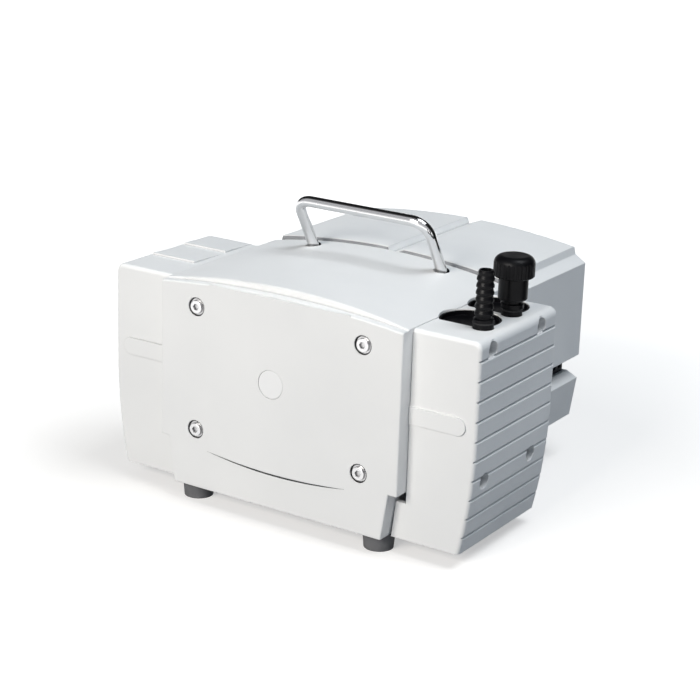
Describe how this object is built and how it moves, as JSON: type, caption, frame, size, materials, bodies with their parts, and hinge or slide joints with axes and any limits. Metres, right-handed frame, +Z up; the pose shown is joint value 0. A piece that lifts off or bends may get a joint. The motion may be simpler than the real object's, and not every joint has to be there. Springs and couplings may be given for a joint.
{
  "type": "diaphragm vacuum pump",
  "caption": "Bench-top motor-driven diaphragm vacuum pump: white housing with side head covers, top hose nozzle and silencer, chrome carrying bow, rubber feet.",
  "frame": {"origin": "on the standing surface under the middle of the pump", "axes": "+X to the pump's right with the hose ports, +Y to the back with the motor, +Z up"},
  "size_m": [0.312, 0.268, 0.219],
  "materials": {
    "white_paint": "satin",
    "white_plastic": "semi-gloss",
    "side_paint": "satin",
    "black_plastic": "matte",
    "dark_rubber": "matte",
    "diaphragm_rubber": "matte",
    "chrome": "polished",
    "screw_steel": "zinc plated",
    "cast_aluminium": "as cast",
    "turned_steel": "ground",
    "lamination_steel": "lacquered",
    "copper_winding": "lacquered",
    "can_aluminium": "drawn"
  },
  "bodies": {
    "housing": {"front_cover": "white_paint", "front_plug": "white_plastic", "front_cover_screws": "screw_steel", "right_head_cover": "side_paint", "left_head_cover": "side_paint", "right_cover_screws": "screw_steel", "left_cover_screws": "screw_steel", "inlet_elbow": "black_plastic", "outlet_elbow": "black_plastic", "inlet_hose_nozzle": "black_plastic", "silencer_body": "black_plastic", "port_manifold": "cast_aluminium", "motor_hood": "white_paint", "base_tray": "white_paint", "vent_band": "black_plastic", "carrying_bow": "chrome", "bow_sockets": "black_plastic", "rubber_feet": "dark_rubber", "foot_screws": "screw_steel", "mains_inlet": "black_plastic", "switch_frame": "black_plastic", "crankcase": "cast_aluminium", "front_shaft_bearing": "turned_steel", "middle_shaft_bearing": "turned_steel", "rear_shaft_bearing": "turned_steel", "motor_flange": "cast_aluminium", "motor_shell": "turned_steel", "stator": "lamination_steel", "stator_windings": "copper_winding", "motor_end_shield": "cast_aluminium", "motor_saddle": "turned_steel", "run_capacitor": "can_aluminium", "left_valve_plate": "cast_aluminium", "right_valve_plate": "cast_aluminium", "left_head_lid": "cast_aluminium", "right_head_lid": "cast_aluminium", "left_valve_flaps": "diaphragm_rubber", "right_valve_flaps": "diaphragm_rubber", "left_head_screws": "screw_steel", "right_head_screws": "screw_steel", "left_diaphragm": "diaphragm_rubber", "right_diaphragm": "diaphragm_rubber"},
    "crank": {"drive_shaft": "turned_steel", "counterweights": "turned_steel", "rotor": "lamination_steel", "cooling_fan": "black_plastic"},
    "left_rod": {"left_connecting_rod": "cast_aluminium", "left_rod_bearing": "turned_steel", "left_diaphragm_clamp": "cast_aluminium"},
    "right_rod": {"right_connecting_rod": "cast_aluminium", "right_rod_bearing": "turned_steel", "right_diaphragm_clamp": "cast_aluminium"},
    "knob": {"silencer_knob": "black_plastic"},
    "rocker": {"switch_rocker": "black_plastic"}
  },
  "joints": [
    {"name": "crank_spin", "type": "hinge", "parent": "housing", "child": "crank", "pos_m": [0, 0, 0.108], "axis": [0, 1, 0], "continuous": true, "deforming": ["left_diaphragm", "right_diaphragm"]},
    {"name": "left_rod_pivot", "type": "hinge", "parent": "crank", "child": "left_rod", "pos_m": [0.004, -0.075, 0.108], "axis": [0, 1, 0], "continuous": true},
    {"name": "right_rod_pivot", "type": "hinge", "parent": "crank", "child": "right_rod", "pos_m": [0.004, -0.065, 0.108], "axis": [0, 1, 0], "continuous": true},
    {"name": "silencer_turn", "type": "hinge", "parent": "housing", "child": "knob", "pos_m": [0.139, -0.0478, 0.2], "axis": [0, 0, 1], "range_deg": [0, 180]},
    {"name": "switch_rock", "type": "hinge", "parent": "housing", "child": "rocker", "pos_m": [-0.012, 0.128, 0.032], "axis": [1, 0, 0], "range_deg": [-18, 0]}
  ],
  "couplings": [
    {"joint": "left_rod_pivot", "follows": "crank_spin", "ratio": -1},
    {"joint": "right_rod_pivot", "follows": "crank_spin", "ratio": -1}
  ]
}
